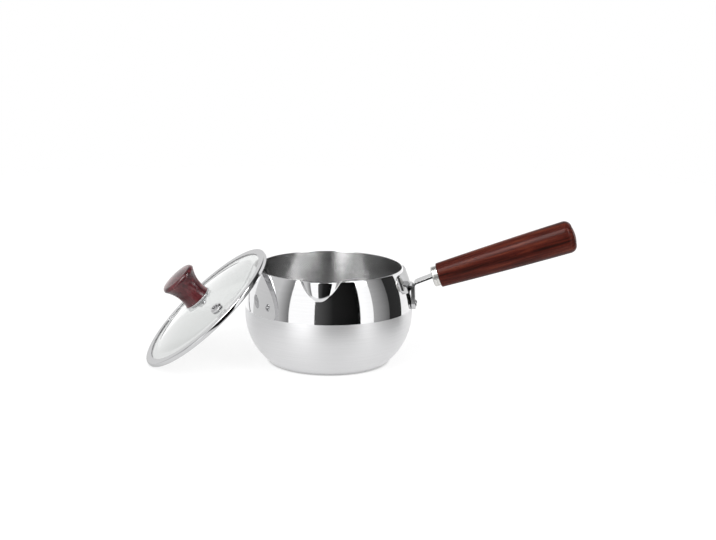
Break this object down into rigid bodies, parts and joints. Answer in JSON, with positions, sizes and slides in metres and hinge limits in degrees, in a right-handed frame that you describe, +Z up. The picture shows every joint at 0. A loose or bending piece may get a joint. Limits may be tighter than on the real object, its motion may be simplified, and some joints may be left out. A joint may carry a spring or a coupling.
{
  "type": "milk pan",
  "caption": "Bellied stainless milk pan with a pouring beak, a turned wooden handle on a riveted strap, and a domed glass lid with a steel band and wooden knob.",
  "frame": {"origin": "middle of the pan's flat underside, on the surface it stands on", "axes": "+Z up, +X along the handle away from the pan, -Y through the pouring beak"},
  "size_m": [0.407, 0.1756, 0.141],
  "materials": {
    "pan_steel": "drawn stainless steel, mirror polished above and satin below",
    "bracket_steel": "polished stainless sheet",
    "ferrule_steel": "bright turned stainless steel",
    "screw_steel": "plain stainless steel",
    "insert_brass": "turned brass",
    "rosewood": "dark red-brown varnished rosewood",
    "knob_rosewood": "dark red-brown varnished rosewood, paler in its shine",
    "clear_glass": "clear tempered glass",
    "band_steel": "bright rolled stainless steel",
    "silicone": "translucent silicone"
  },
  "bodies": {
    "pan": {"pan_body": "pan_steel", "handle_bracket": "bracket_steel", "handle_stem": "bracket_steel", "stem_rivets": "bracket_steel", "ferrule": "ferrule_steel", "handle_stud": "screw_steel", "handle_insert": "insert_brass", "handle_grip": "rosewood"},
    "lid": {"lid_glass": "clear_glass", "band_seal": "silicone", "lid_band": "band_steel", "vent_eyelet": "band_steel", "upper_gasket": "silicone", "knob_dish": "band_steel", "lid_knob": "knob_rosewood", "knob_insert": "insert_brass", "lower_gasket": "silicone", "knob_washer": "screw_steel", "knob_screw": "screw_steel"}
  },
  "joints": [
    {"name": "lid_lift", "type": "slide", "parent": "pan", "child": "lid", "axis": [-0.6414, -0.2078, 0.7385], "range_m": [0, 0.15]}
  ]
}
